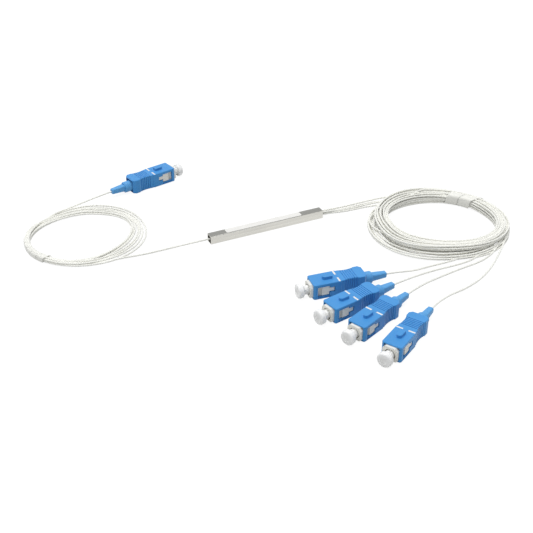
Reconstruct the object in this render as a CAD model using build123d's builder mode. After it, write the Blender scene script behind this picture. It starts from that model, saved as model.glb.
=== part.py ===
from build123d import *
import os
from math import cos, pi, radians, sin, sqrt, tan

os.makedirs("parts", exist_ok=True)

# Splitter module: a square steel tube that lies along X, its bottom centre at the origin
tube_length = 60.0
tube_width = 4.4
tube_height = 4.2
tube_wall = 0.3
tube_corner_radius = 0.4
seal_recess = 1.4
seal_length = 6.0
seal_clearance = 0.02
seal_collar_height = 0.4
seal_collar_wall = 0.1

# Optics inside the tube
chip_length = 12.0
chip_width = 2.5
chip_height = 2.2
input_block_length = 8.0
output_block_length = 9.0
fibre_bed_height = 0.6
bed_side_margin = 0.4
block_lid_chamfer = 0.15
bare_fibre_diameter = 0.25
output_count = 4

# Blank label on the top of the tube
label_input_margin = 8.5
label_output_margin = 11.5
label_side_margin = 0.45
label_thickness = 0.1
label_corner_radius = 0.5

# Cords
cord_diameter = 0.9
cord_pitch_in_tube = 1.15
cord_floor_height = cord_diameter / 2 + 0.05
cord_running_gap = 0.05
cord_in_boot = 3.0
cord_straight_out = 4.0
tail_straight_out = 6.0
tail_spread = 1.3
tail_drop = 0.3

# Grip housing of a connector, its front face at local X = 0 and +X the mating direction
grip_length = 25.2
grip_width = 9.0
grip_height = 7.4
grip_floor = 0.4
grip_front_radius = 0.9
grip_edge_chamfer = 0.2
neck_length = 1.3
shoulder_depth = 0.3
waist_length = 7.0
waist_depth = 0.45
tail_block_length = 4.0
tail_step_length = 0.4
tail_chamfer = 1.3
mark_setback = 0.8
mark_length = 3.1
mark_width = 0.85
mark_spread = 5.5
mark_depth = 0.12
key_front = 5.3
key_length = 4.5
key_width = 2.4
key_height = 1.3
rib_count = 6
rib_pitch = 1.05
rib_groove_width = 0.35
rib_groove_depth = 0.25
rib_groove_length = 7.0
bottom_groove_depth = 0.2
side_groove_depth = 0.3
side_groove_reach = 1.0
window_front = 1.8
window_length = 5.8
window_height = 4.8
window_tail_length = 2.4
window_tail_height = 2.4
window_tail_rise = 0.3
side_slot_length = 6.0
side_slot_height = 0.6
side_slot_depth = 0.4
side_slot_drop = 0.45
bore_step_behind_window = 2.5
grip_travel = 1.8

# Plug frame, the white housing that the grip slides on
frame_protrusion = 1.2
frame_width = 6.8
frame_height = 6.2
frame_step_ahead_of_bore = 1.0
frame_setback = 5.2
frame_tail_width = 6.2
frame_tail_height = 5.4
frame_tail_chamfer = 0.6
frame_top_chamfer = 1.3
frame_bottom_chamfer = 0.6
grip_slide_clearance = 0.1
cavity_diameter = 4.9
cavity_depth = 7.4
seat_thickness = 1.4
seat_bore_diameter = 3.2
chamber_diameter = 4.7
latch_groove_count = 3
latch_groove_pitch = 0.65
latch_groove_width = 0.3
latch_groove_depth = 0.25
latch_groove_height = 3.8
latch_groove_inset = 0.25
latch_pad_rise = 0.8
latch_pad_gap = 0.25
latch_pad_edge = 0.15

# Ferrule with its flange and tail tube
ferrule_diameter = 2.5
ferrule_overhang = 1.5
ferrule_tip_chamfer = 0.35
flange_diameter = 4.4
flange_length = 2.2
flange_gap = 0.05
tail_tube_diameter = 1.8
tail_tube_length = 4.4
tail_tube_bore = 1.0

# Ferrule spring, rear body and boot
spring_wire = 0.4
spring_diameter = 4.2
spring_pitch = 1.25
spring_seat_gap = 0.05
rear_body_fit = 0.03
rear_body_bore = 2.3
rear_plug_length = 4.3
rear_flange_diameter = 5.5
rear_flange_length = 1.0
stem_diameter = 3.4
stem_length = 4.2
stem_barb = 0.15
stem_barb_length = 1.0
boot_base_diameter = 5.6
boot_base_length = 7.9
boot_edge_chamfer = 0.35
nozzle_length = 7.3
nozzle_base = 3.5
nozzle_end = 2.6
nozzle_end_chamfer = 0.35
boot_stem_fit = 0.03

# Dust cap over the ferrule
cap_bore_clearance = 0.05
cap_sleeve_diameter = 4.1
cap_sleeve_length = 4.7
cap_gap_to_frame = 2.4
cap_head_diameter = 6.6
cap_head_length = 2.6
cap_head_radius = 0.7
cap_roof = 1.6
cap_dimple_diameter = 3.0
cap_dimple_depth = 0.25

# Where each connector lies: the floor point under its front face and its heading
axis_height = 3.3
connector_places = {
    "input": (-23.2, 71.5, 12.6),
    "output_1": (-7.0, -59.8, 174.0),
    "output_2": (-8.2, -79.2, 190.7),
    "output_3": (-4.7, -95.6, 202.8),
    "output_4": (0.9, -113.7, 210.8),
}

# Coils, ovals seen from above, narrow where the turns are tied and wide where they fan out
coil_turn_angle = -25.2
coil_lift = 0.4
input_coil_centre = (-81.0, 30.6)
input_coil_radii = (28.85, 27.6)
input_coil_hole_shift = (-3.4, -0.5)
input_coil_hole_radii = (23.1, 22.4)
input_coil_height = 2.7
input_coil_rounding = 0.9
output_coil_centre = (76.4, -34.5)
output_coil_radii = (34.55, 31.1)
output_coil_hole_shift = (1.3, 1.0)
output_coil_hole_radii = (25.6, 22.9)
output_coil_height = 5.2
output_coil_rounding = 1.6

# Spiral wrap ties, each a sleeve round a stretch of its coil
tie_wall = 0.4
input_tie_start = 168.0
input_tie_sweep = 44.0
output_tie_start = 11.0
output_tie_sweep = 34.0

tube_top = tube_height
inner_width = tube_width - 2 * tube_wall
inner_height = tube_height - 2 * tube_wall
seal_face = tube_length / 2 - seal_recess
seal_back = seal_face - seal_length
stack_length = input_block_length + chip_length + output_block_length
stack_start = -stack_length / 2
stack_bottom = tube_wall + fibre_bed_height
stack_middle = stack_bottom + chip_height / 2
chip_start = stack_start + input_block_length
output_block_start = chip_start + chip_length
tube_middle = tube_height / 2
label_length = tube_length - label_input_margin - label_output_margin
label_middle = (label_input_margin - label_output_margin) / 2

grip_bottom = -axis_height
grip_top = grip_bottom + grip_height
grip_middle = (grip_bottom + grip_top) / 2
waist_end = grip_length - tail_block_length
waist_start = waist_end - waist_length
shoulder_position = waist_start - neck_length
mark_position = shoulder_position - mark_setback
window_back = window_front + window_length
window_tail_back = window_back + window_tail_length
bore_step = window_tail_back + bore_step_behind_window
frame_bottom = grip_bottom + grip_floor + grip_slide_clearance
frame_middle = frame_bottom + frame_height / 2
frame_front = frame_protrusion
frame_step = bore_step - frame_step_ahead_of_bore
frame_rear = grip_length - frame_setback
seat_front = frame_front - cavity_depth
seat_back = seat_front - seat_thickness
ferrule_tip = frame_front + ferrule_overhang
flange_front = seat_back - flange_gap
flange_back = flange_front - flange_length
rear_flange_front = -frame_rear
rear_body_front = rear_flange_front + rear_plug_length
spring_back = rear_body_front + spring_seat_gap
spring_length = flange_back - spring_back
rear_flange_back = rear_flange_front - rear_flange_length
stem_back = rear_flange_back - stem_length
boot_front = rear_flange_back
boot_step = boot_front - boot_base_length
boot_end = boot_step - nozzle_length
cap_head_back = frame_front + cap_gap_to_frame
cap_head_front = cap_head_back + cap_head_length
cap_sleeve_back = cap_head_back - cap_sleeve_length


def place_of(name):
    x, y, heading = connector_places[name]
    return Location((x, y, axis_height), (0, 0, heading))


def turned_outline(*points):
    """Closed half section in the XZ plane, as (x, radius) points, to be turned about X."""
    return Polyline(*points, close=True)


# Steel tube, drawn square with rounded corners and open ends
with BuildPart() as steel_tube:
    with BuildSketch(Plane.YZ.offset(-tube_length / 2)):
        with Locations((0, tube_middle)):
            RectangleRounded(tube_width, tube_height, tube_corner_radius)
            RectangleRounded(inner_width, inner_height, tube_corner_radius / 2, mode=Mode.SUBTRACT)
    extrude(amount=tube_length)
steel_tube.part.label = "steel_tube"
export_step(steel_tube.part, "parts/steel_tube.step")

# Bare label, stuck on the top face and shown without any print
with BuildPart() as label:
    with BuildSketch(Plane.XY.offset(tube_top)):
        with Locations((label_middle, 0)):
            RectangleRounded(label_length, tube_width - 2 * label_side_margin, label_corner_radius)
    extrude(amount=label_thickness)
label.part.label = "label"
export_step(label.part, "parts/label.step")


def cord_positions(count):
    """Where the cords leave a seal, as points across the tube: one in the middle, or a square of four."""
    if count == 1:
        return [(0, tube_middle)]
    half = cord_pitch_in_tube / 2
    return [(y, tube_middle + z) for y in (half, -half) for z in (half, -half)]


# End seals, rubber plugs with a low collar round each cord
for name, side, count in (("input_end_seal", -1, 1), ("output_end_seal", 1, output_count)):
    with BuildPart() as end_seal:
        with BuildSketch(Plane.YZ.offset(side * seal_back)):
            with Locations((0, tube_middle)):
                RectangleRounded(
                    inner_width - 2 * seal_clearance,
                    inner_height - 2 * seal_clearance,
                    tube_corner_radius / 2,
                )
        extrude(amount=side * (seal_length - seal_collar_height))
        with BuildSketch(Plane.YZ.offset(side * (seal_face - seal_collar_height))):
            with Locations(*cord_positions(count)):
                Circle(cord_diameter / 2 + seal_collar_wall)
        extrude(amount=side * seal_collar_height)
    end_seal.part.label = name
    export_step(end_seal.part, f"parts/{name}.step")

# Glass stack: input block, splitter chip and output block, glued end to end on a silicone bed
blocks = (
    ("input_fibre_block", stack_start, input_block_length),
    ("splitter_chip", chip_start, chip_length),
    ("output_fibre_block", output_block_start, output_block_length),
)
for name, start, length in blocks:
    with BuildPart() as block:
        with BuildSketch(Plane.YZ.offset(start)):
            with Locations((0, stack_middle)):
                Rectangle(chip_width, chip_height)
        extrude(amount=length)
        lid_edges = block.edges().filter_by(Axis.Y).group_by(Axis.Z)[-1]
        chamfer(lid_edges, block_lid_chamfer)
    block.part.label = name
    export_step(block.part, f"parts/{name}.step")

with BuildPart() as chip_bed:
    with BuildSketch(Plane.XY.offset(tube_wall)):
        RectangleRounded(stack_length - 2 * bed_side_margin, chip_width, 0.5)
    extrude(amount=fibre_bed_height)
chip_bed.part.label = "chip_bed"
export_step(chip_bed.part, "parts/chip_bed.step")

with BuildPart() as input_fibre:
    with BuildSketch(Plane.YZ.offset(-seal_back)):
        with Locations((0, stack_middle)):
            Circle(bare_fibre_diameter / 2)
    extrude(amount=stack_start + seal_back)
input_fibre.part.label = "input_fibre"
export_step(input_fibre.part, "parts/input_fibre.step")

with BuildPart() as output_fibre_ribbon:
    with BuildSketch(Plane.YZ.offset(-stack_start)):
        with Locations((0, stack_middle)):
            SlotOverall(output_count * bare_fibre_diameter, bare_fibre_diameter)
    extrude(amount=seal_back + stack_start)
output_fibre_ribbon.part.label = "output_fibre_ribbon"
export_step(output_fibre_ribbon.part, "parts/output_fibre_ribbon.step")

# Grip housing, the blue outer shell with key, marks, side windows, ribbed waist and squared tail
waist_middle = (waist_start + waist_end) / 2
neck_half = grip_width / 2 - shoulder_depth
rib_span = (rib_count - 1) * rib_pitch
waist_half_length = (waist_end - waist_start) / 2
waist_radius = (waist_half_length**2 + waist_depth**2) / (2 * waist_depth)

with BuildPart() as grip:
    with BuildSketch(Plane.XY.offset(grip_bottom)):
        with BuildLine():
            front = Polyline(
                (0, 0),
                (0, grip_width / 2),
                (-shoulder_position, grip_width / 2),
                (-shoulder_position - shoulder_depth, neck_half),
                (-waist_start, neck_half),
            )
            waist = ThreePointArc(
                front @ 1,
                (-waist_middle, neck_half - waist_depth),
                (-waist_end, neck_half),
            )
            Polyline(
                waist @ 1,
                (-waist_end - tail_step_length, grip_width / 2),
                (-grip_length + tail_chamfer, grip_width / 2),
                (-grip_length, grip_width / 2 - tail_chamfer),
                (-grip_length, 0),
            )
            mirror(about=Plane.XZ)
        make_face()
    extrude(amount=grip_height)
    fillet(grip.edges().filter_by(Axis.Z).group_by(Axis.X)[-1], grip_front_radius)
    chamfer(grip.faces().sort_by(Axis.Z)[0].edges(), grip_edge_chamfer)
    chamfer(grip.faces().sort_by(Axis.Z)[-1].edges(), grip_edge_chamfer)

    # Bore that slides on the plug frame, narrower behind the latch windows
    bore_height = frame_height + 2 * grip_slide_clearance
    with BuildSketch(Plane.YZ):
        with Locations((0, frame_middle)):
            Rectangle(frame_width + 2 * grip_slide_clearance, bore_height)
    extrude(amount=-bore_step, mode=Mode.SUBTRACT)
    with BuildSketch(Plane.YZ.offset(-bore_step)):
        with Locations((0, frame_middle)):
            Rectangle(frame_tail_width + 2 * grip_slide_clearance, bore_height)
    extrude(amount=bore_step - grip_length, mode=Mode.SUBTRACT)

    # Finger grooves across the top and the bottom of the waist
    for face_height, cut in ((grip_top, -rib_groove_depth), (grip_bottom, bottom_groove_depth)):
        with BuildSketch(Plane.XY.offset(face_height)):
            with Locations((-waist_middle, 0)):
                with GridLocations(rib_pitch, 0, rib_count, 1):
                    Rectangle(rib_groove_width, rib_groove_length)
        extrude(amount=cut, mode=Mode.SUBTRACT)

    # Finger grooves down both sides of the waist, following its curve
    for index in range(rib_count):
        groove_x = waist_middle - rib_span / 2 + index * rib_pitch
        offset_x = groove_x - waist_middle
        sag = sqrt(waist_radius**2 - offset_x**2) - (waist_radius - waist_depth)
        groove_floor = neck_half - sag - side_groove_depth
        with BuildSketch(Plane.XY.offset(grip_bottom)):
            for side in (1, -1):
                with Locations((-groove_x, side * (groove_floor + side_groove_reach / 2))):
                    Rectangle(rib_groove_width, side_groove_reach)
        extrude(amount=grip_height, mode=Mode.SUBTRACT)

    # Stepped latch window through both side walls
    window_tail_middle = grip_middle + window_tail_rise
    with BuildSketch(Plane.XZ.offset(-grip_width)):
        with Locations((-window_front - window_length / 2, grip_middle)):
            Rectangle(window_length, window_height)
        with Locations((-window_back - window_tail_length / 2, window_tail_middle)):
            Rectangle(window_tail_length, window_tail_height)
    extrude(amount=2 * grip_width, mode=Mode.SUBTRACT)

    # Shallow guide slot under each window
    for side in (1, -1):
        slot_level = grip_middle - window_height / 2 - side_slot_drop
        with BuildSketch(Plane.XZ.offset(-side * grip_width / 2)):
            with Locations((-window_front - side_slot_length / 2, slot_level)):
                SlotOverall(side_slot_length, side_slot_height)
        extrude(amount=side * side_slot_depth, mode=Mode.SUBTRACT)

    # Recesses for the two painted index marks
    with BuildSketch(Plane.XY.offset(grip_top)):
        with Locations((-mark_position, 0)):
            with GridLocations(0, mark_spread, 1, 2):
                Rectangle(mark_width, mark_length)
    extrude(amount=-mark_depth, mode=Mode.SUBTRACT)

    # Key bar with a rounded nose
    with BuildSketch(Plane.XY.offset(grip_top)):
        with Locations((-key_front - key_length / 2, 0)):
            Rectangle(key_length - key_width, key_width)
        with Locations((-key_front - key_width / 2, 0)):
            Circle(key_width / 2)
        with Locations((-key_front - key_length + key_width / 2, 0)):
            Rectangle(key_width, key_width)
    extrude(amount=key_height)

# Plug frame, chamfered like the port it enters, with latch ridges that show in the windows
with BuildPart() as frame:
    with BuildSketch(Plane.YZ.offset(-frame_step)):
        with Locations((0, frame_middle)):
            Rectangle(frame_width, frame_height)
    extrude(amount=frame_step + frame_front)
    chamfer(frame.edges().filter_by(Axis.X).group_by(Axis.Z)[-1], frame_top_chamfer)
    chamfer(frame.edges().filter_by(Axis.X).group_by(Axis.Z)[0], frame_bottom_chamfer)

    # Narrower tail that holds the spring and the rear body
    with BuildSketch(Plane.YZ.offset(-frame_rear)) as tail_section:
        Rectangle(frame_tail_width, frame_tail_height)
        chamfer(tail_section.vertices(), frame_tail_chamfer)
    extrude(amount=frame_rear - frame_step)

    # Stepped latch pads that stand in the windows and stop the grip's travel
    pad_front = window_front + grip_travel + latch_pad_gap
    pad_back = window_back - latch_pad_gap
    pad_tail_back = window_tail_back - latch_pad_gap
    with BuildSketch(Plane.XZ.offset(-frame_width / 2 - latch_pad_rise)):
        with Locations((-(pad_front + pad_back) / 2, grip_middle)):
            Rectangle(pad_back - pad_front, window_height - 2 * latch_pad_gap)
        with Locations((-(pad_front + pad_tail_back) / 2, window_tail_middle)):
            Rectangle(pad_tail_back - pad_front, window_tail_height - 2 * latch_pad_gap)
    extrude(amount=frame_width + 2 * latch_pad_rise)
    pad_faces = frame.faces().filter_by(Axis.Y).sort_by(Axis.Y)
    for pad_face in (pad_faces[0], pad_faces[-1]):
        chamfer(pad_face.edges(), latch_pad_edge)

    # Mating cavity, ferrule seat and spring chamber
    with BuildSketch(Plane.YZ.offset(frame_front)):
        Circle(cavity_diameter / 2)
    extrude(amount=-cavity_depth, mode=Mode.SUBTRACT)
    with BuildSketch(Plane.YZ.offset(seat_front)):
        Circle(seat_bore_diameter / 2)
    extrude(amount=-seat_thickness, mode=Mode.SUBTRACT)
    with BuildSketch(Plane.YZ.offset(seat_back)):
        Circle(chamber_diameter / 2)
    extrude(amount=-frame_rear - seat_back, mode=Mode.SUBTRACT)

    # Fine latch grooves ahead of the pads
    latch_groove_middle = window_front + latch_groove_inset + latch_groove_pitch
    for side in (1, -1):
        with BuildSketch(Plane.XZ.offset(-side * frame_width / 2)):
            with Locations((-latch_groove_middle, 0)):
                with GridLocations(latch_groove_pitch, 0, latch_groove_count, 1):
                    Rectangle(latch_groove_width, latch_groove_height)
        extrude(amount=side * latch_groove_depth, mode=Mode.SUBTRACT)

# Ferrule: ceramic rod, metal flange and tail tube, turned about its own axis
with BuildPart() as ferrule:
    with BuildSketch(Plane.XZ):
        with BuildLine():
            turned_outline(
                (ferrule_tip, 0),
                (ferrule_tip, ferrule_diameter / 2 - ferrule_tip_chamfer),
                (ferrule_tip - ferrule_tip_chamfer, ferrule_diameter / 2),
                (flange_front, ferrule_diameter / 2),
                (flange_front, flange_diameter / 2),
                (flange_back, flange_diameter / 2),
                (flange_back, tail_tube_diameter / 2),
                (flange_back - tail_tube_length, tail_tube_diameter / 2),
                (flange_back - tail_tube_length, tail_tube_bore / 2),
                (flange_back, tail_tube_bore / 2),
                (flange_back, 0),
            )
        make_face()
    revolve(axis=Axis.X)

# Spring that presses the ferrule forward, square section wire
with BuildPart() as spring:
    spring_radius = (spring_diameter - spring_wire) / 2
    with BuildLine():
        coil_line = Helix(
            pitch=spring_pitch,
            height=spring_length - 2 * spring_wire,
            radius=spring_radius,
            center=(spring_back + spring_wire, 0, 0),
            direction=(1, 0, 0),
        )
    with BuildSketch(Plane(origin=coil_line @ 0, z_dir=coil_line % 0)):
        Rectangle(spring_wire, spring_wire)
    sweep(is_frenet=True)

# Rear body that closes the frame behind the spring and carries the boot
with BuildPart() as rear_body:
    with BuildSketch(Plane.XZ):
        with BuildLine():
            turned_outline(
                (rear_body_front, rear_body_bore / 2),
                (rear_body_front, chamber_diameter / 2 - rear_body_fit),
                (rear_flange_front, chamber_diameter / 2 - rear_body_fit),
                (rear_flange_front, rear_flange_diameter / 2),
                (rear_flange_back, rear_flange_diameter / 2),
                (rear_flange_back, stem_diameter / 2 - stem_barb),
                (stem_back + stem_barb_length, stem_diameter / 2 - stem_barb),
                (stem_back + stem_barb_length, stem_diameter / 2),
                (stem_back, stem_diameter / 2 - stem_barb),
                (stem_back, rear_body_bore / 2),
            )
        make_face()
    revolve(axis=Axis.X)

# Boot: round base behind the grip and a flat-sided nozzle that narrows to the cord
with BuildPart() as boot:
    with BuildSketch(Plane.YZ.offset(boot_step)):
        Circle(boot_base_diameter / 2)
    extrude(amount=boot_base_length)
    chamfer(boot.edges().group_by(Axis.X)[0], boot_edge_chamfer)
    with BuildSketch(Plane.YZ.offset(boot_step)):
        RectangleRounded(nozzle_base, nozzle_base, nozzle_base / 4)
    with BuildSketch(Plane.YZ.offset(boot_end)):
        RectangleRounded(nozzle_end, nozzle_end, nozzle_end / 4)
    loft()
    chamfer(boot.edges().group_by(Axis.X)[0], nozzle_end_chamfer)
    with BuildSketch(Plane.YZ.offset(boot_front)):
        Circle(stem_diameter / 2 + boot_stem_fit)
    extrude(amount=-stem_length - boot_stem_fit, mode=Mode.SUBTRACT)
    with BuildSketch(Plane.YZ.offset(boot_front)):
        Circle(cord_diameter / 2 + cord_running_gap)
    extrude(amount=boot_end - boot_front, mode=Mode.SUBTRACT)

# Dust cap: soft sleeve on the ferrule and a round head with a dimple
with BuildPart() as cap:
    with BuildSketch(Plane.YZ.offset(cap_sleeve_back)):
        Circle(cap_sleeve_diameter / 2)
    extrude(amount=cap_sleeve_length)
    with BuildSketch(Plane.YZ.offset(cap_head_back)):
        Circle(cap_head_diameter / 2)
    extrude(amount=cap_head_length)
    head_edges = cap.edges().filter_by(GeomType.CIRCLE).sort_by(SortBy.RADIUS)[-2:]
    fillet(head_edges, cap_head_radius)
    with BuildSketch(Plane.YZ.offset(cap_sleeve_back)):
        Circle(ferrule_diameter / 2 + cap_bore_clearance)
    extrude(amount=cap_head_front - cap_roof - cap_sleeve_back, mode=Mode.SUBTRACT)
    with BuildSketch(Plane.YZ.offset(cap_head_front)):
        Circle(cap_dimple_diameter / 2)
    extrude(amount=-cap_dimple_depth, mode=Mode.SUBTRACT)

# The five connectors are alike: each piece is placed at every connector
connector_pieces = {
    "grip_housing": grip.part,
    "plug_frame": frame.part,
    "ferrule": ferrule.part,
    "ferrule_spring": spring.part,
    "rear_body": rear_body.part,
    "boot": boot.part,
    "dust_cap": cap.part,
}
for connector in connector_places:
    for piece_name, piece in connector_pieces.items():
        placed = piece.moved(place_of(connector))
        placed.label = f"{connector}_{piece_name}"
        export_step(placed, f"parts/{placed.label}.step")


def oval_ring(sizes, grow=0.0):
    """An oval ring with rounded edges and its hole off centre, grown all round by the given amount."""
    centre, radii, hole_shift, hole_radii, height, rounding = sizes
    hole_centre = (centre[0] + hole_shift[0], centre[1] + hole_shift[1])
    with BuildPart() as ring:
        with BuildSketch(Plane.XY.offset(coil_lift - grow)):
            with Locations(Location(centre, coil_turn_angle)):
                Ellipse(radii[0] + grow, radii[1] + grow)
            with Locations(Location(hole_centre, coil_turn_angle)):
                Ellipse(hole_radii[0] - grow, hole_radii[1] - grow, mode=Mode.SUBTRACT)
        extrude(amount=height + 2 * grow)
        fillet(ring.faces().sort_by(Axis.Z)[-1].edges(), rounding + grow)
        fillet(ring.faces().sort_by(Axis.Z)[0].edges(), rounding + grow)
    return ring.part


def coil_tie(coil_shape, sizes, start_angle, sweep_angle):
    """The sleeve of spiral wrap round one stretch of a coil."""
    centre, radii = sizes[:2]
    reach = 2 * radii[0]
    first = radians(start_angle)
    last = radians(start_angle + sweep_angle)
    with BuildPart() as tie:
        add(oval_ring(sizes, tie_wall))
        with BuildSketch(Plane.XY.offset(coil_lift - tie_wall)):
            with BuildLine():
                Polyline(
                    centre,
                    (centre[0] + reach * cos(first), centre[1] + reach * sin(first)),
                    (centre[0] + reach * cos(last), centre[1] + reach * sin(last)),
                    close=True,
                )
            make_face()
        extrude(amount=reach, mode=Mode.INTERSECT)
        add(coil_shape, mode=Mode.SUBTRACT)
    return tie.part


input_coil_sizes = (
    input_coil_centre,
    input_coil_radii,
    input_coil_hole_shift,
    input_coil_hole_radii,
    input_coil_height,
    input_coil_rounding,
)
output_coil_sizes = (
    output_coil_centre,
    output_coil_radii,
    output_coil_hole_shift,
    output_coil_hole_radii,
    output_coil_height,
    output_coil_rounding,
)
coils = (
    ("input", input_coil_sizes, input_tie_start, input_tie_sweep),
    ("output", output_coil_sizes, output_tie_start, output_tie_sweep),
)
for name, sizes, tie_start, tie_sweep in coils:
    coil = oval_ring(sizes)
    coil.label = f"{name}_coil"
    export_step(coil, f"parts/{name}_coil.step")
    tie = coil_tie(coil, sizes, tie_start, tie_sweep)
    tie.label = f"{name}_coil_tie"
    export_step(tie, f"parts/{name}_coil_tie.step")


def cord_tube(name, points):
    """A plain cord along straight runs and arcs, each arc as large as its two runs allow."""
    corners = [Vector(*p) for p in points]
    radii = []
    for before, corner, after in zip(corners, corners[1:], corners[2:]):
        turn = radians((corner - before).get_angle(after - corner))
        shorter = min((corner - before).length, (after - corner).length)
        radii.append(0.45 * shorter / tan(turn / 2))
    with BuildPart() as tube:
        with BuildLine():
            route = FilletPolyline(*corners, radius=radii)
        with BuildSketch(Plane(origin=route @ 0, z_dir=route % 0)):
            Circle(cord_diameter / 2)
        sweep(path=route)
    expected = pi * cord_diameter**2 / 4 * route.length
    print(
        f"{name}: length {route.length:.1f}, smallest radius {min(radii):.1f},",
        f"volume {tube.part.volume / expected:.4f} of section times length",
    )
    tube.part.label = name
    export_step(tube.part, f"parts/{name}.step")


def boot_mouth(name):
    """The cord's first two points at a connector: inside the boot, and straight out of it."""
    place = place_of(name)
    inside = (place * Location((boot_end + cord_in_boot, 0, 0))).position
    outside = (place * Location((boot_end - cord_straight_out, 0, 0))).position
    return [tuple(inside), tuple(outside)]


floor = cord_floor_height

# Input cord: from the left seal to the coil, and from the coil to its connector
cord_tube(
    "input_cord_tail",
    [
        (-seal_face, 0, tube_middle),
        (-38.0, 0.4, 1.9),
        (-49.0, 2.3, 0.7),
        (-62.0, 2.5, floor),
        (-72.5, 3.3, 0.9),
        (-83.0, 4.8, 1.3),
    ],
)
cord_tube(
    "input_cord_lead",
    boot_mouth("input")
    + [
        (-71.5, 61.4, 2.3),
        (-80.5, 60.0, 1.2),
        (-89.5, 57.4, 1.2),
        (-97.0, 51.8, 1.4),
    ],
)

# Output cords: side by side from the right seal to the coil
tail_routes = {
    "output_1": [(45.0, 2.4, 0.8), (57.0, 2.7, 1.0), (69.0, -0.6, 2.6), (78.0, -5.0, 3.9)],
    "output_2": [(45.5, 0.9, floor), (57.5, 1.2, 0.7), (68.5, -2.0, 1.4), (77.0, -6.4, 2.2)],
    "output_3": [(44.5, -0.4, floor), (56.0, -0.4, 0.8), (67.0, -3.8, 2.6), (75.5, -8.2, 3.9)],
    "output_4": [(44.0, -1.7, floor), (55.0, -1.9, 0.6), (66.0, -5.4, 1.4), (74.0, -9.6, 2.2)],
}
for index, (y, z) in enumerate(cord_positions(output_count)):
    name = f"output_{index + 1}"
    start = [(seal_face, y, z), (seal_face + tail_straight_out, y * tail_spread, z - tail_drop)]
    cord_tube(f"{name}_cord_tail", start + tail_routes[name])

# Output cords: from each connector back to the coil
lead_routes = {
    "output_1": [
        (43.5, -64.5, 1.5),
        (53.0, -62.9, floor),
        (64.0, -63.8, 0.7),
        (73.0, -63.4, 1.5),
    ],
    "output_2": [
        (42.5, -68.6, 1.6),
        (53.0, -66.6, floor),
        (65.0, -67.4, floor),
        (76.0, -66.8, 0.8),
        (85.0, -61.5, 1.5),
    ],
    "output_3": [
        (43.0, -75.2, 1.6),
        (53.0, -72.3, floor),
        (65.0, -70.6, floor),
        (77.0, -69.6, floor),
        (87.0, -66.0, 1.0),
        (94.0, -59.5, 1.8),
    ],
    "output_4": [
        (46.5, -87.6, 1.6),
        (57.0, -85.2, floor),
        (68.0, -81.6, floor),
        (78.0, -75.8, floor),
        (86.5, -69.2, 0.8),
        (96.0, -61.5, 1.8),
    ],
}
for name, route_points in lead_routes.items():
    cord_tube(f"{name}_cord_lead", boot_mouth(name) + route_points)
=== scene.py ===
from math import copysign, cos, pi, radians, sin

import bmesh
import bpy
import numpy as np
from mathutils import Matrix, Vector


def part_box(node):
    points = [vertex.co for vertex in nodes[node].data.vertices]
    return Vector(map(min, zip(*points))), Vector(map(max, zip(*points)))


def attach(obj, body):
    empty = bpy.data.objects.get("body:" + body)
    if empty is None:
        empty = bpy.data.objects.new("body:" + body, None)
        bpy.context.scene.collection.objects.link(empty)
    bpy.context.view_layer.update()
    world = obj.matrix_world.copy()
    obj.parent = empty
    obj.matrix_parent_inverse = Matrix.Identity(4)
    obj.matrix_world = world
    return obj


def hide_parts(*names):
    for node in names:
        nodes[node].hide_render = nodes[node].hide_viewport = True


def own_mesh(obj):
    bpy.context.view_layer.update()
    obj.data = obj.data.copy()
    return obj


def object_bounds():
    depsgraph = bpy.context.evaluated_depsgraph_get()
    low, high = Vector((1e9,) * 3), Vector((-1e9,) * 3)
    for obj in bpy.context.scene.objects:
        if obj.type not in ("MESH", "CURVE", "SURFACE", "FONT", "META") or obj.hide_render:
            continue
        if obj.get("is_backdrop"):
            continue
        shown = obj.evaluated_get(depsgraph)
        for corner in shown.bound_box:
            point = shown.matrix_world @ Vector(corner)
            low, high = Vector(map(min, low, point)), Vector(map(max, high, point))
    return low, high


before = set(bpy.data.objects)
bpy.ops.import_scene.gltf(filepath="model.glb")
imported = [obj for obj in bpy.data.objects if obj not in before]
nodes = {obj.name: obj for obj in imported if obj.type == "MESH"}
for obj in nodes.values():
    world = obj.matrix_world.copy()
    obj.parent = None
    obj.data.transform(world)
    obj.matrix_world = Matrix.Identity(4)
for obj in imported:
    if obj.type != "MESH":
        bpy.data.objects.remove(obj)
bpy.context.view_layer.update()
bpy.ops.object.select_all(action="DESELECT")

# Camera
# The photograph looks down on the laid-out splitter from the near left, with a
# fairly long lens, so the module runs from lower left to upper right.
camera = bpy.data.cameras.new("camera")
camera.lens = 63.49
camera.sensor_width = 36.0
camera_object = bpy.data.objects.new("camera", camera)
camera_object.location = (-0.1689, -0.3591, 0.2321)
camera_object.rotation_euler = (radians(57.4), 0, radians(-25.2))
bpy.context.collection.objects.link(camera_object)
bpy.context.scene.camera = camera_object
bpy.context.scene.view_settings.view_transform = "Standard"


# Table and light
# A plain pale table under a large soft lamp. What the camera and reflections
# see of it is white, and it keeps the contact shadows.
def pale_surface(tree, lit, shown):
    """The lit shader for light that falls on the part, and shown for the camera, reflections
    and what shines through."""
    path = tree.nodes.new("ShaderNodeLightPath")
    seen = tree.nodes.new("ShaderNodeMath")
    seen.operation = "MAXIMUM"
    tree.links.new(path.outputs["Is Camera Ray"], seen.inputs[0])
    tree.links.new(path.outputs["Is Glossy Ray"], seen.inputs[1])
    through = tree.nodes.new("ShaderNodeMath")
    through.operation = "MAXIMUM"
    tree.links.new(seen.outputs[0], through.inputs[0])
    tree.links.new(path.outputs["Is Transmission Ray"], through.inputs[1])
    mix = tree.nodes.new("ShaderNodeMixShader")
    tree.links.new(through.outputs[0], mix.inputs[0])
    tree.links.new(lit, mix.inputs[1])
    tree.links.new(shown, mix.inputs[2])
    return mix.outputs[0]


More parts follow.
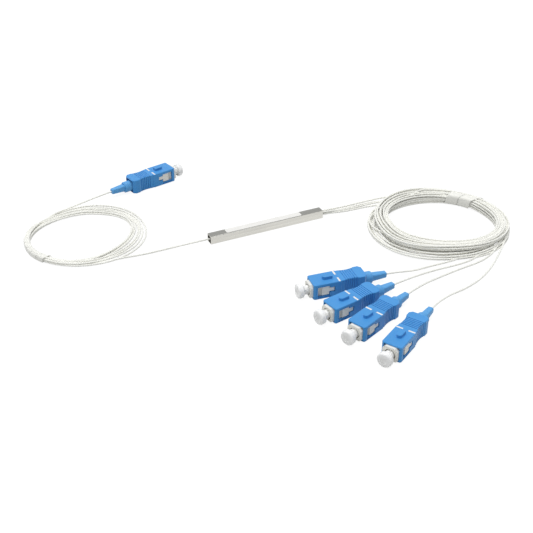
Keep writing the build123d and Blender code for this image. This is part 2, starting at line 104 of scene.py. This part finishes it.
bpy.ops.mesh.primitive_plane_add(size=6.0, location=(0, 0, 0))
table = bpy.context.object
table.name = "table"
table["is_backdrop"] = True
table_skin = bpy.data.materials.new("pale_table")
table_skin.use_nodes = True
tree = table_skin.node_tree
tree.nodes.clear()
dim = tree.nodes.new("ShaderNodeBsdfDiffuse")
dim.inputs["Color"].default_value = (0.60, 0.60, 0.59, 1)
white = tree.nodes.new("ShaderNodeBsdfDiffuse")
white.inputs["Color"].default_value = (0.16, 0.16, 0.16, 1)
glow = tree.nodes.new("ShaderNodeEmission")
glow.inputs["Strength"].default_value = 0.91
both = tree.nodes.new("ShaderNodeAddShader")
tree.links.new(white.outputs[0], both.inputs[0])
tree.links.new(glow.outputs[0], both.inputs[1])
output = tree.nodes.new("ShaderNodeOutputMaterial")
surface = pale_surface(tree, dim.outputs[0], both.outputs[0])
tree.links.new(surface, output.inputs["Surface"])
table.data.materials.append(table_skin)

world = bpy.data.worlds.new("room")
bpy.context.scene.world = world
world.use_nodes = True
tree = world.node_tree
tree.nodes.clear()
ambient = tree.nodes.new("ShaderNodeBackground")
ambient.inputs["Color"].default_value = (0.97, 0.985, 1.0, 1)
ambient.inputs["Strength"].default_value = 0.49
backdrop = tree.nodes.new("ShaderNodeBackground")
backdrop.inputs["Color"].default_value = (1, 1, 1, 1)
backdrop.inputs["Strength"].default_value = 1.0
output = tree.nodes.new("ShaderNodeOutputWorld")
surface = pale_surface(tree, ambient.outputs[0], backdrop.outputs[0])
tree.links.new(surface, output.inputs["Surface"])

for name, place, size, power in (
    ("overhead_lamp", (-0.05, 0.35, 2.4), 1.7, 38.0),
    ("side_lamp", (-2.2, -0.4, 1.4), 1.0, 4.0),
):
    lamp = bpy.data.lights.new(name, "AREA")
    lamp.shape = "DISK"
    lamp.size = size
    lamp.energy = power
    lamp_object = bpy.data.objects.new(name, lamp)
    lamp_object.location = place
    lamp_object.rotation_euler = (-Vector(place)).to_track_quat("-Z", "Y").to_euler()
    bpy.context.collection.objects.link(lamp_object)


# Steel tube
# The body of the splitter module, a square tube drawn from stainless steel
# and cut to length, with the fine lines of the drawing along it.
def new_finish(name, colour, roughness):
    """A material of one colour and its shader, to which each piece adds its own detail."""
    material = bpy.data.materials.new(name)
    material.use_nodes = True
    skin = material.node_tree.nodes["Principled BSDF"]
    skin.inputs["Base Color"].default_value = (*colour, 1)
    skin.inputs["Roughness"].default_value = roughness
    return material, skin


def grain(material, scale, stretch=(1, 1, 1), detail=3.0):
    """Noise over the piece, drawn out along the axes by stretch."""
    tree = material.node_tree
    place = tree.nodes.new("ShaderNodeTexCoord")
    turn = tree.nodes.new("ShaderNodeMapping")
    turn.inputs["Scale"].default_value = stretch
    noise = tree.nodes.new("ShaderNodeTexNoise")
    noise.inputs["Scale"].default_value = scale
    noise.inputs["Detail"].default_value = detail
    tree.links.new(place.outputs["Object"], turn.inputs["Vector"])
    tree.links.new(turn.outputs[0], noise.inputs["Vector"])
    return noise.outputs["Fac"]


def between(material, factor, socket, low, high):
    """Drives a shader value between low and high by a pattern."""
    tree = material.node_tree
    spread = tree.nodes.new("ShaderNodeMapRange")
    spread.inputs["From Min"].default_value = 0.3
    spread.inputs["From Max"].default_value = 0.7
    spread.inputs["To Min"].default_value = low
    spread.inputs["To Max"].default_value = high
    tree.links.new(factor, spread.inputs["Value"])
    tree.links.new(spread.outputs[0], socket)


def tinted(material, factor, socket, low, high):
    """Drives a colour between two by a pattern."""
    tree = material.node_tree
    ramp = tree.nodes.new("ShaderNodeValToRGB")
    ramp.color_ramp.elements[0].position = 0.3
    ramp.color_ramp.elements[1].position = 0.7
    ramp.color_ramp.elements[0].color = (*low, 1)
    ramp.color_ramp.elements[1].color = (*high, 1)
    tree.links.new(factor, ramp.inputs["Fac"])
    tree.links.new(ramp.outputs["Color"], socket)


def roughen(material, skin, factor, strength, depth):
    """Fine relief from a pattern."""
    tree = material.node_tree
    bump = tree.nodes.new("ShaderNodeBump")
    bump.inputs["Strength"].default_value = strength
    bump.inputs["Distance"].default_value = depth
    tree.links.new(factor, bump.inputs["Height"])
    tree.links.new(bump.outputs[0], skin.inputs["Normal"])


def dress(material, *names):
    """Gives these nodes of the frame the material."""
    for name in names:
        slots = nodes[name].data.materials
        slots.clear()
        slots.append(material)


steel, steel_skin = new_finish("drawn_steel", (0.64, 0.63, 0.585), 0.34)
steel_skin.inputs["Metallic"].default_value = 1.0
lines = grain(steel, 900.0, stretch=(0.02, 1, 1))
between(steel, lines, steel_skin.inputs["Roughness"], 0.26, 0.42)
# Painted shade: the top is given a darker steel colour than the sides, standing in for the dim
# reflection it catches from above
shaded_top_depth = 0.00008
tree = steel.node_tree
place = tree.nodes.new("ShaderNodeTexCoord")
height = tree.nodes.new("ShaderNodeSeparateXYZ")
tree.links.new(place.outputs["Object"], height.inputs[0])
is_top = tree.nodes.new("ShaderNodeMath")
is_top.operation = "GREATER_THAN"
is_top.inputs[1].default_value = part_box("steel_tube")[1][2] - shaded_top_depth
tree.links.new(height.outputs["Z"], is_top.inputs[0])
top_shade_mix = tree.nodes.new("ShaderNodeMix")
top_shade_mix.data_type = "RGBA"
tree.links.new(is_top.outputs[0], top_shade_mix.inputs["Factor"])
tinted(steel, lines, top_shade_mix.inputs["A"], (0.58, 0.57, 0.53), (0.70, 0.69, 0.64))
# Painted shade: the darker colour given to the top face
tinted(steel, lines, top_shade_mix.inputs["B"], (0.245, 0.245, 0.23), (0.325, 0.325, 0.308))
tree.links.new(top_shade_mix.outputs["Result"], steel_skin.inputs["Base Color"])
roughen(steel, steel_skin, lines, 0.25, 0.00002)
dress(steel, "steel_tube")

# Label
# A blank white film label on top of the tube, self-adhesive, die-cut with
# rounded corners. It carries no print.
film, film_skin = new_finish("label_film", (0.80, 0.79, 0.76), 0.55)
mottle = grain(film, 220.0)
between(film, mottle, film_skin.inputs["Roughness"], 0.48, 0.62)
tinted(film, mottle, film_skin.inputs["Base Color"], (0.78, 0.77, 0.74), (0.83, 0.82, 0.79))
roughen(film, film_skin, mottle, 0.15, 0.00003)
dress(film, "label")

# End seals and optics
# Black rubber and epoxy plugs hold the cords in the tube's ends. Inside lie
# the silica chip and its fibre blocks on a bed of silicone.
rubber, rubber_skin = new_finish("black_rubber", (0.018, 0.018, 0.02), 0.6)
pits = grain(rubber, 1800.0)
between(rubber, pits, rubber_skin.inputs["Roughness"], 0.5, 0.75)
roughen(rubber, rubber_skin, pits, 0.4, 0.00004)
dress(rubber, "input_end_seal", "output_end_seal")

silica, silica_skin = new_finish("silica", (0.85, 0.90, 0.92), 0.08)
silica_skin.inputs["Transmission Weight"].default_value = 0.8
silica_skin.inputs["IOR"].default_value = 1.46
between(silica, grain(silica, 600.0), silica_skin.inputs["Roughness"], 0.04, 0.14)
dress(
    silica,
    "input_fibre_block",
    "splitter_chip",
    "output_fibre_block",
    "input_fibre",
    "output_fibre_ribbon",
)

silicone, silicone_skin = new_finish("bed_silicone", (0.55, 0.55, 0.53), 0.5)
between(silicone, grain(silicone, 500.0), silicone_skin.inputs["Roughness"], 0.4, 0.6)
dress(silicone, "chip_bed")

# Grip housings
# The blue outer shells that slide on the plug frames, moulded in PBT with
# grooves for the fingers, a key on top and stepped latch windows.
connectors = ("input", "output_1", "output_2", "output_3", "output_4")
blue, blue_skin = new_finish("blue_housing", (0.056, 0.295, 0.68), 0.48)
blue_skin.inputs["Specular IOR Level"].default_value = 0.3
blue_skin.inputs["Sheen Weight"].default_value = 0.25
blue_skin.inputs["Sheen Roughness"].default_value = 0.4
mould = grain(blue, 1400.0, detail=4.0)
between(blue, mould, blue_skin.inputs["Roughness"], 0.40, 0.54)
cloud = grain(blue, 90.0)
tinted(blue, cloud, blue_skin.inputs["Base Color"], (0.052, 0.285, 0.66), (0.060, 0.305, 0.70))
roughen(blue, blue_skin, mould, 0.12, 0.00002)
dress(blue, *(f"{connector}_grip_housing" for connector in connectors))

# Index marks
# Two white paint marks in shallow recesses on top of each grip housing, that
# show how far the plug is in. They are filled level and move with the grip.
# Each connector's origin on the table, and the way that it points in degrees
places = {
    "input": (-0.0232, 0.0715, 12.6),
    "output_1": (-0.0070, -0.0598, 174.0),
    "output_2": (-0.0082, -0.0792, 190.7),
    "output_3": (-0.0047, -0.0956, 202.8),
    "output_4": (0.0009, -0.1137, 210.8),
}
axis_height = 0.0033


def at_connector(connector):
    """Where the connector's own origin lies, its X axis pointing in the mating direction."""
    x, y, heading = places[connector]
    return Matrix.Translation((x, y, axis_height)) @ Matrix.Rotation(radians(heading), 4, "Z")


def hold_place(piece, place):
    """Puts the piece in its place through its mesh, and leaves its object at the origin."""
    piece.data.transform(place @ piece.matrix_world)
    piece.matrix_world = Matrix.Identity(4)


paint, paint_skin = new_finish("white_paint", (0.82, 0.82, 0.80), 0.5)
wear = grain(paint, 1500.0)
tinted(paint, wear, paint_skin.inputs["Base Color"], (0.74, 0.75, 0.76), (0.86, 0.86, 0.84))
roughen(paint, paint_skin, wear, 0.3, 0.00003)
mark_size = (0.00084, 0.00308)
mark_back = 0.0121
mark_aside = 0.00275
mark_top = 0.0041
mark_floor = 0.00395
mark_rounding = 0.00005
for connector in connectors:
    pads = []
    for side in (-1, 1):
        bpy.ops.mesh.primitive_cube_add(
            size=1.0,
            location=(-mark_back, side * mark_aside, (mark_top + mark_floor) / 2),
            scale=(*mark_size, mark_top - mark_floor),
        )
        pad = bpy.context.object
        bpy.ops.object.transform_apply(location=True, rotation=True, scale=True)
        soft = pad.modifiers.new("rounded", "BEVEL")
        soft.width = mark_rounding
        soft.segments = 2
        bpy.ops.object.modifier_apply(modifier=soft.name)
        pads.append(pad)
    bpy.ops.object.select_all(action="DESELECT")
    for pad in pads:
        pad.select_set(True)
    bpy.context.view_layer.objects.active = pads[0]
    bpy.ops.object.join()
    marks = bpy.context.object
    marks.name = f"{connector}_marks"
    hold_place(marks, at_connector(connector))
    marks.data.materials.append(paint)
    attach(marks, f"{connector}_grip")
    bpy.ops.object.select_all(action="DESELECT")

# Plug frames
# The white inner housings, moulded in PBT, with latch ridges that show in the
# grip's windows and stop its travel.
cream, cream_skin = new_finish("white_frame", (0.84, 0.83, 0.78), 0.4)
fine = grain(cream, 1500.0)
between(cream, fine, cream_skin.inputs["Roughness"], 0.34, 0.46)
tinted(cream, fine, cream_skin.inputs["Base Color"], (0.82, 0.81, 0.76), (0.86, 0.85, 0.80))
roughen(cream, cream_skin, fine, 0.1, 0.00002)
dress(cream, *(f"{connector}_plug_frame" for connector in connectors))

# Ferrules, springs and rear bodies
# A zirconia rod pressed into a nickel-plated flange, the steel spring behind it,
# which in the real plug shortens as the ferrule is pressed, and the plated ring
# that closes the frame and holds the boot.
ceramic, ceramic_skin = new_finish("zirconia", (0.86, 0.85, 0.81), 0.15)
between(ceramic, grain(ceramic, 1200.0), ceramic_skin.inputs["Roughness"], 0.10, 0.22)
dress(ceramic, *(f"{connector}_ferrule" for connector in connectors))

spring_steel, spring_skin = new_finish("spring_steel", (0.50, 0.50, 0.50), 0.3)
spring_skin.inputs["Metallic"].default_value = 1.0
between(spring_steel, grain(spring_steel, 2500.0), spring_skin.inputs["Roughness"], 0.22, 0.4)
same_point = 0.000001
for connector in connectors:
    bpy.ops.object.select_all(action="DESELECT")
    wire = bpy.data.objects.new(
        f"{connector}_spring_wire", nodes[f"{connector}_ferrule_spring"].data.copy()
    )
    bpy.context.collection.objects.link(wire)
    bpy.context.view_layer.objects.active = wire
    wire.select_set(True)
    bpy.ops.object.mode_set(mode="EDIT")
    bpy.ops.mesh.select_all(action="SELECT")
    bpy.ops.mesh.remove_doubles(threshold=same_point)
    bpy.ops.object.mode_set(mode="OBJECT")
    bpy.ops.object.select_all(action="DESELECT")
    wire.data.materials.clear()
    wire.data.materials.append(spring_steel)
    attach(wire, "root")
    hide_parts(f"{connector}_ferrule_spring")
    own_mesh(wire)

nickel, nickel_skin = new_finish("nickel_plate", (0.66, 0.63, 0.57), 0.25)
nickel_skin.inputs["Metallic"].default_value = 1.0
between(nickel, grain(nickel, 2000.0), nickel_skin.inputs["Roughness"], 0.18, 0.34)
dress(nickel, *(f"{connector}_rear_body" for connector in connectors))

# Boots
# Soft blue strain reliefs of thermoplastic rubber, pushed over the stem of
# the rear body, a round base and a flat-sided nozzle.
boot_blue, boot_skin = new_finish("blue_boot", (0.090, 0.35, 0.71), 0.5)
haze = grain(boot_blue, 1100.0)
between(boot_blue, haze, boot_skin.inputs["Roughness"], 0.44, 0.58)
tinted(boot_blue, haze, boot_skin.inputs["Base Color"], (0.086, 0.34, 0.69), (0.094, 0.36, 0.73))
roughen(boot_blue, boot_skin, haze, 0.15, 0.00002)
dress(boot_blue, *(f"{connector}_boot" for connector in connectors))

# Dust caps
# Milky caps of soft polyethylene over the ferrules, with a thin sleeve and a
# rounded head that the fingers pull.
milky, milky_skin = new_finish("milky_cap", (0.965, 0.97, 0.945), 0.32)
milky_skin.inputs["Subsurface Weight"].default_value = 0.9
milky_skin.inputs["Subsurface Radius"].default_value = (1.0, 1.0, 1.0)
milky_skin.inputs["Subsurface Scale"].default_value = 0.0012
milky_skin.inputs["IOR"].default_value = 1.5
flow = grain(milky, 700.0)
between(milky, flow, milky_skin.inputs["Roughness"], 0.26, 0.40)
roughen(milky, milky_skin, flow, 0.06, 0.00002)
dress(milky, *(f"{connector}_dust_cap" for connector in connectors))

# Coil ties
# Strips of matt white spiral wrap, wound by hand round each coil where its turns
# are gathered, with a hairline between the bands. A coil fills the ring between
# two ovals, pulled out or pressed in here and there.
stations_per_turn = 24
angles = 2 * pi * np.arange(stations_per_turn) / stations_per_turn
ring_degrees = np.append(np.degrees(angles), 360.0)
# The ovals are turned to the camera's right, and places round a coil are told from there
coil_turned = radians(-25.2)
view_degrees = np.degrees(angles - coil_turned)
input_tied_at = 215
output_tied_at = 53


def oval_reach(shift, radii):
    """How far an oval reaches from the coil's centre at each station round it."""
    along = (shift[0] * cos(coil_turned) + shift[1] * sin(coil_turned)) / radii[0]
    across = (shift[1] * cos(coil_turned) - shift[0] * sin(coil_turned)) / radii[1]
    u = np.cos(angles - coil_turned) / radii[0]
    v = np.sin(angles - coil_turned) / radii[1]
    square = u * u + v * v
    middle = u * along + v * across
    return (middle + np.sqrt(middle**2 - square * (along**2 + across**2 - 1))) / square


def eased(x):
    """0 to 1 with soft ends."""
    x = np.clip(x, 0, 1)
    return x * x * (3 - 2 * x)


def around(centre, half):
    """At each station, 1 in the direction of centre and down to 0 at half to each side of it,
    in degrees."""
    return eased(1 - np.abs((view_degrees - centre + 180) % 360 - 180) / half)


def wrap_strip(name, centre, lows, highs, heights, start, width, pitch, bands):
    """One strip wound round a coil: angles in degrees, heights of its underside and top.
    The grid's X runs along the strip and its Y across it, both from -1 to 1."""
    steps_per_band = 40
    steps_across = 8
    film_gap = 0.0002
    film_thickness = 0.00022
    inner_reach = np.append(lows, lows[0]) - film_gap
    outer_reach = np.append(highs, highs[0]) + film_gap
    bottom, top = heights
    bpy.ops.mesh.primitive_grid_add(
        x_subdivisions=int(steps_per_band * bands), y_subdivisions=steps_across, size=2.0
    )
    piece = bpy.context.object
    piece.name = name
    bpy.ops.object.mode_set(mode="EDIT")
    mesh = bmesh.from_edit_mesh(piece.data)
    for vertex in mesh.verts:
        wound = bands * (vertex.co.x + 1) / 2
        turn = 2 * pi * wound - pi / 2
        angle = start + pitch * wound + width * (vertex.co.y + 1) / 2
        inner = np.interp(angle, ring_degrees, inner_reach)
        outer = np.interp(angle, ring_degrees, outer_reach)
        outwards = copysign(abs(cos(turn)) ** 0.5, cos(turn))
        upwards = copysign(abs(sin(turn)) ** 0.5, sin(turn))
        reach = (inner + outer) / 2 + (outer - inner) / 2 * outwards
        z = (bottom + top) / 2 + (top - bottom) / 2 * upwards
        a = radians(angle)
        vertex.co = (centre[0] + reach * cos(a), centre[1] + reach * sin(a), z)
    bmesh.update_edit_mesh(piece.data)
    bpy.ops.object.mode_set(mode="OBJECT")
    film = piece.modifiers.new("film", "SOLIDIFY")
    film.thickness = film_thickness
    film.offset = 0
    bpy.ops.object.modifier_apply(modifier=film.name)
    bpy.ops.object.shade_smooth()
    bpy.ops.object.select_all(action="DESELECT")
    return piece


wrap, wrap_skin = new_finish("wrap_film", (0.88, 0.875, 0.82), 0.5)
wrap_skin.inputs["Sheen Weight"].default_value = 0.5
wrap_skin.inputs["Sheen Roughness"].default_value = 0.6
crease = grain(wrap, 500.0)
between(wrap, crease, wrap_skin.inputs["Roughness"], 0.42, 0.6)
tinted(wrap, crease, wrap_skin.inputs["Base Color"], (0.86, 0.855, 0.80), (0.90, 0.895, 0.84))
roughen(wrap, wrap_skin, crease, 0.2, 0.00005)

input_centre = (-0.0810, 0.0306)
input_low = oval_reach((-0.0034, -0.0005), (0.0231, 0.0224))
input_high = oval_reach((0, 0), (0.02885, 0.0276))
input_low += 0.0026 * around(42, 50) + 0.0012 * around(input_tied_at, 45)
input_low -= 0.0018 * around(138, 50) + 0.0028 * around(318, 62)
input_high += 0.0026 * around(82, 68) + 0.0016 * around(228, 70)

output_centre = (0.0764, -0.0345)
output_low = oval_reach((0.0013, 0.0010), (0.0256, 0.0229))
output_high = oval_reach((0, 0), (0.03455, 0.0311))
output_low += 0.0018 * around(345, 60) - 0.0017 * around(245, 80)
output_low -= 0.0014 * around(188, 35)
output_high += 0.0018 * around(228, 55) + 0.0010 * around(120, 35)
output_high -= 0.0009 * around(60, 50)

underside = 0.00018
wraps = {
    "input": wrap_strip(
        "input_wrap",
        input_centre,
        input_low,
        input_high,
        heights=(underside, 0.0033),
        start=165.5,
        width=8.5,
        pitch=8.8,
        bands=4.7,
    ),
    "output": wrap_strip(
        "output_wrap",
        output_centre,
        output_low,
        output_high,
        heights=(underside, 0.0059),
        start=7.6,
        width=14.3,
        pitch=14.5,
        bands=2,
    ),
}
for coil, piece in wraps.items():
    piece.data.materials.append(wrap)
    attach(piece, "root")
    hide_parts(f"{coil}_coil_tie")

# Input cord
# White 0.9 mm tight-buffered fibre from the module's left end, wound eight
# and a half turns into a small coil and led on to its connector. The turns are
# tied at the left and fan out over the table at the right.
cord_thickness = 0.0009
# Behind the connector's origin: inside its boot, and a little before the boot's mouth
boot_points = (-0.0332, -0.0402)


def drift(chance, count, every):
    """A slow random wander between -1 and 1 along a cord."""
    knots = chance.uniform(-1, 1, count // every + 4)
    t = np.arange(count) / every
    i = t.astype(int)
    ease = eased(t - i)
    return knots[i] * (1 - ease) + knots[i + 1] * ease


def laps(step, tied_from, crossing):
    """The turn that each step of a cord lies in. A cord moves on to its next turn where the coil
    is tied, tied_from degrees from its first step, within the share crossing of a turn."""
    degrees_per_station = 360 / stations_per_turn
    unwound = (step - tied_from / degrees_per_station) / stations_per_turn
    nearest = np.floor(unwound + 0.5)
    return np.maximum(nearest + eased((unwound - nearest) / crossing + 0.5), 0)


def settle(strands, low, high, floor):
    """Moves turns that lie in each other apart, and lets them sink, each strand staying smooth.
    A strand is its stations, its distances from the coil's centre and its heights."""
    rounds = 150
    spacing = 1.02 * cord_thickness
    parting = 0.4
    sinking = 0.000001
    smoothing = 0.3
    keeping = 0.995
    station = np.concatenate([s[0] for s in strands]) % stations_per_turn
    reach = np.concatenate([s[1] for s in strands])
    height = np.concatenate([s[2] for s in strands])
    wished = (reach.copy(), height.copy())
    ends = np.cumsum([0] + [len(s[0]) for s in strands])
    half = cord_thickness / 2
    for _ in range(rounds):
        aside = np.zeros_like(reach)
        up = np.zeros_like(reach)
        for place in range(stations_per_turn):
            here = np.flatnonzero(station == place)
            dr = reach[here][:, None] - reach[here][None]
            dz = height[here][:, None] - height[here][None]
            gap = np.hypot(dr, dz) + 1e-9
            np.fill_diagonal(gap, 1)
            push = parting * np.maximum(0, spacing - gap) / gap
            aside[here] = (dr * push).sum(1)
            up[here] = (dz * push).sum(1)
        reach += aside
        height += up - sinking
        for start, end in zip(ends, ends[1:]):
            for value, wish in zip((reach, height), wished):
                off = value[start:end] - wish[start:end]
                off[1:-1] += smoothing * ((off[:-2] + off[2:]) / 2 - off[1:-1])
                value[start:end] = wish[start:end] + keeping * off
        reach = np.clip(reach, low[station] + half, high[station] - half)
        height = np.maximum(height, floor[station] + half)
    return [(reach[a:b], height[a:b]) for a, b in zip(ends, ends[1:])]


def turns_at(centre, stations, reach, height):
    """The turns' points from the stations round the coil. The spline cuts inside its points,
    which lie further out by outset for that."""
    outset = 1.0086
    angle = 2 * pi * stations / stations_per_turn
    x = centre[0] + outset * reach * np.cos(angle)
    y = centre[1] + outset * reach * np.sin(angle)
    return list(zip(x.tolist(), y.tolist(), height.tolist()))


def mouth_of(connector):
    """The cord's last two points: straight into the boot, and inside it."""
    place = at_connector(connector)
    return [tuple(place @ Vector((x, 0, 0))) for x in reversed(boot_points)]


def lay_cord(name, points):
    """A cord on one smooth spline through these control points."""
    curve = bpy.data.curves.new(name, "CURVE")
    curve.dimensions = "3D"
    curve.resolution_u = 5
    curve.bevel_depth = cord_thickness / 2
    curve.bevel_resolution = 3
    curve.use_fill_caps = True
    spline = curve.splines.new("NURBS")
    spline.points.add(len(points) - 1)
    for point, place in zip(spline.points, points):
        point.co = (*place, 1)
    spline.order_u = 3
    spline.use_endpoint_u = True
    cord_object = bpy.data.objects.new(name, curve)
    bpy.context.collection.objects.link(cord_object)
    return cord_object


def join_cord(cord_object, connector):
    """Gives the cord its jacket and its place in the frame, and hides the coil and cord parts of
    the frame that it stands for.
    """
    coil = connector.split("_")[0]
    cord_object.data.materials.append(jacket)
    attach(cord_object, "root")
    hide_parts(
        f"{coil}_coil", f"{connector}_cord_tail", f"{connector}_cord_lead"
    )
    own = ("grip_housing", "plug_frame", "ferrule", "rear_body", "boot", "dust_cap")
    hung = [nodes[f"{connector}_{piece}"] for piece in own]
    hung += [bpy.data.objects[f"{connector}_{piece}"] for piece in ("marks", "spring_wire")]


jacket, jacket_skin = new_finish("cord_jacket", (0.92, 0.915, 0.855), 0.45)
jacket_skin.inputs["Sheen Weight"].default_value = 0.6
jacket_skin.inputs["Sheen Roughness"].default_value = 0.6
matt = grain(jacket, 900.0)
between(jacket, matt, jacket_skin.inputs["Roughness"], 0.38, 0.52)
tone = grain(jacket, 60.0)
tinted(jacket, tone, jacket_skin.inputs["Base Color"], (0.905, 0.90, 0.84), (0.935, 0.93, 0.87))

# Place across the coil and row above the table of each turn, where it fans out and where it is tied
fanned_place = np.array([5.0, 0, 0.9, 0.5, 2.0, 4.0, 4.9, 6.4, 8.6, 8.6]) / 8.4
fanned_row = np.array([1, 0, 0, 1, 0, 0, 0, 0, 0, 0.0])
tied_place = np.array([0, 0, 0, 1, 1, 1, 2, 2, 2, 2]) / 2
tied_row = np.array([2, 1, 0, 0, 1, 2, 2, 1, 0, 0.0])
input_first = 9
input_steps = 202
step = np.arange(input_steps)
stations = input_first + step
lap = laps(step, tied_from=55, crossing=0.25)
before = np.floor(lap).astype(int)
after = np.minimum(before + 1, len(tied_place) - 1)
part = lap - before


def shifted(values):
    """The value of each turn, moving on to the next turn's in the tied stretch."""
    return values[before] * (1 - part) + values[after] * part


# The turns rest on the table, and where they are tied on the film below them
table_gap = 0.00005
film_rise = 0.0004
input_floor = table_gap + film_rise * around(input_tied_at, 60)
here = stations % stations_per_turn
tied = around(input_tied_at, 75)[here]
low = input_low[here] + cord_thickness / 2
width = input_high[here] - cord_thickness / 2 - low
# Heights of the middle of the lowest turns, and from one row of turns to the next
loose_lowest = 0.0005
tied_lowest = 0.0009
loose_rise = 0.0008
tied_rise = 0.0009
chance = np.random.default_rng(5)
loose_reach = low + 0.96 * shifted(fanned_place) * width + 0.0005 * drift(chance, len(step), 4)
loose_height = loose_lowest + loose_rise * shifted(fanned_row)
loose_height += 0.0003 * drift(chance, len(step), 4)
tied_reach = low + width * shifted(tied_place)
tied_height = tied_lowest + tied_rise * shifted(tied_row)
reach = loose_reach * (1 - tied) + tied_reach * tied
height = loose_height * (1 - tied) + tied_height * tied
reach, height = settle([(stations, reach, height)], input_low, input_high, input_floor)[0]
input_turns = turns_at(input_centre, stations, reach, height)
input_cord = lay_cord(
    "input_cord",
    [
        (-0.0286, 0, 0.0021),
        (-0.0380, 0.0004, 0.0019),
        (-0.0490, 0.0023, 0.0007),
        (-0.0620, 0.0025, 0.0005),
        (-0.0725, 0.0033, 0.0009),
        *reversed(input_turns),
        (-0.0970, 0.0518, 0.0014),
        (-0.0895, 0.0574, 0.0012),
        (-0.0805, 0.0600, 0.0012),
        (-0.0715, 0.0614, 0.0023),
        *mouth_of("input"),
    ],
)
join_cord(input_cord, "input")

# Output cords
# Four cords of the same fibre from the module's right end, wound together
# seven and a half turns into one coil, tied at its far right and looser at the
# left, from where one after the other leads back to its connector.
output_tie = around(output_tied_at, 45)
output_left = around(188, 75)
output_near = around(270, 100)
output_far = around(95, 75)
output_floor = table_gap + film_rise * around(output_tied_at, 60)
# The turns lie in two layers. Each layer's inner and outer limit, as shares of the coil's width
upper_from = 0.10 * output_far * (1 - output_tie)
upper_to = 1 - 0.42 * output_near - 0.42 * output_left * (1 - output_near)
lower_from = 0.30 * output_near + 0.25 * output_left * (1 - output_near)
lower_to = 1 - 0.12 * output_far * (1 - output_tie)


def berth(lap, cord):
    """The layer of a cord in a turn, 1 for the upper one, its place across that layer, 0 to 1,
    and its row."""
    cords = 4
    rows = 3
    upper_laps = 4
    upper_columns = 5.0
    lower_columns = 3.5
    upper = lap <= upper_laps
    number = np.where(upper, upper_laps - lap, lap - upper_laps - 1) * cords + cord
    column = np.floor(number / rows)
    row = number - rows * column
    row = np.where(column % 2 == 1, rows - 1 - row, row)
    place = (column + 0.5 * (row % 2)) / np.where(upper, upper_columns, lower_columns)
    return np.where(upper, 1.0, 0.0), np.clip(place, 0, 1), row


def within(layer, place, here):
    """The share of the coil's width at a place across a layer."""
    start = layer * upper_from[here] + (1 - layer) * lower_from[here]
    end = layer * upper_to[here] + (1 - layer) * lower_to[here]
    return start + place * (end - start)


output_first = 5
output_steps = (180, 178, 177, 177)
# Where the turns lie loose they sink a little
loose_drop = 0.0004
row_rise = 0.00085
# One turn strays to the outside at the left
strayed_cord = 2
strayed_lap = 3
chance = np.random.default_rng(3)
strands = []
for cord, steps in enumerate(output_steps):
    step = np.arange(steps)
    stations = output_first - step
    here = stations % stations_per_turn
    lap = laps(step, tied_from=47, crossing=0.22)
    before = np.floor(lap).astype(int)
    part = lap - before
    layer, place, row = berth(np.maximum(before, 1), cord)
    next_layer, next_place, next_row = berth(np.maximum(before + 1, 1), cord)
    share = within(layer, place, here) * (1 - part) + within(next_layer, next_place, here) * part
    if cord == strayed_cord:
        share += (1 - share) * around(178, 45)[here] * (np.round(lap) == strayed_lap)
    place = place * (1 - part) + next_place * part
    row = row * (1 - part) + next_row * part
    layer = layer * (1 - part) + next_layer * part
    loose = 1 - output_tie[here]
    low = output_low[here] + cord_thickness / 2
    high = output_high[here] - cord_thickness / 2
    reach = low + share * (high - low)
    reach += (0.0010 - 0.0001 * layer) * loose * drift(chance, len(step), 6)
    reach += 0.0001 * drift(chance, len(step), 3)
    layer_rise = 0.00255 + 0.0003 * output_near[here]
    height = tied_lowest - loose_drop * loose + row * row_rise + layer * layer_rise
    height += 0.00045 * loose * drift(chance, len(step), 6)
    outer = (1 - layer) * eased((place - 0.45) / 0.2)
    reach += outer * output_left[here] * 0.0006 * drift(chance, len(step), 7)
    strands.append((stations, reach, height))

tails = (
    [(0.0346, 0.0007475, 0.002375), (0.0450, 0.0024, 0.0008), (0.0570, 0.0027, 0.0010),
     (0.0690, -0.0006, 0.0026), (0.0780, -0.0050, 0.0039)],
    [(0.0346, 0.0007475, 0.001225), (0.0455, 0.0009, 0.0005), (0.0575, 0.0012, 0.0007),
     (0.0685, -0.0020, 0.0014), (0.0770, -0.0064, 0.0022)],
    [(0.0346, -0.0007475, 0.002375), (0.0445, -0.0004, 0.0005), (0.0560, -0.0004, 0.0008),
     (0.0670, -0.0038, 0.0026), (0.0755, -0.0082, 0.0039)],
    [(0.0346, -0.0007475, 0.001225), (0.0440, -0.0017, 0.0005), (0.0550, -0.0019, 0.0006),
     (0.0660, -0.0054, 0.0014), (0.0740, -0.0096, 0.0022)],
)
leads = (
    [(0.0730, -0.0634, 0.0015), (0.0640, -0.0638, 0.0007), (0.0530, -0.0629, 0.0005),
     (0.0435, -0.0645, 0.0015)],
    [(0.0850, -0.0615, 0.0015), (0.0760, -0.0668, 0.0008), (0.0650, -0.0674, 0.0005),
     (0.0530, -0.0666, 0.0005), (0.0425, -0.0686, 0.0016)],
    [(0.0940, -0.0595, 0.0018), (0.0870, -0.0660, 0.0010), (0.0770, -0.0696, 0.0005),
     (0.0650, -0.0706, 0.0005), (0.0530, -0.0723, 0.0005), (0.0430, -0.0752, 0.0016)],
    [(0.0960, -0.0615, 0.0018), (0.0865, -0.0692, 0.0008), (0.0780, -0.0758, 0.0005),
     (0.0680, -0.0816, 0.0005), (0.0570, -0.0852, 0.0005), (0.0465, -0.0876, 0.0016)],
)
# Inside the seal the cords lie closer together than at its face, and a little higher
seal_squeeze = 1.3
seal_rise = 0.0003
settled = settle(strands, output_low, output_high, output_floor)
for index, ((stations, _, _), (reach, height)) in enumerate(zip(strands, settled)):
    name = f"output_{index + 1}"
    _, y, z = tails[index][0]
    turns = turns_at(output_centre, stations, reach, height)
    output_cord = lay_cord(
        f"{name}_cord",
        [
            (0.0286, y / seal_squeeze, z + seal_rise),
            *tails[index],
            *turns,
            *leads[index],
            *mouth_of(name),
        ],
    )
    join_cord(output_cord, name)

low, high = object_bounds()
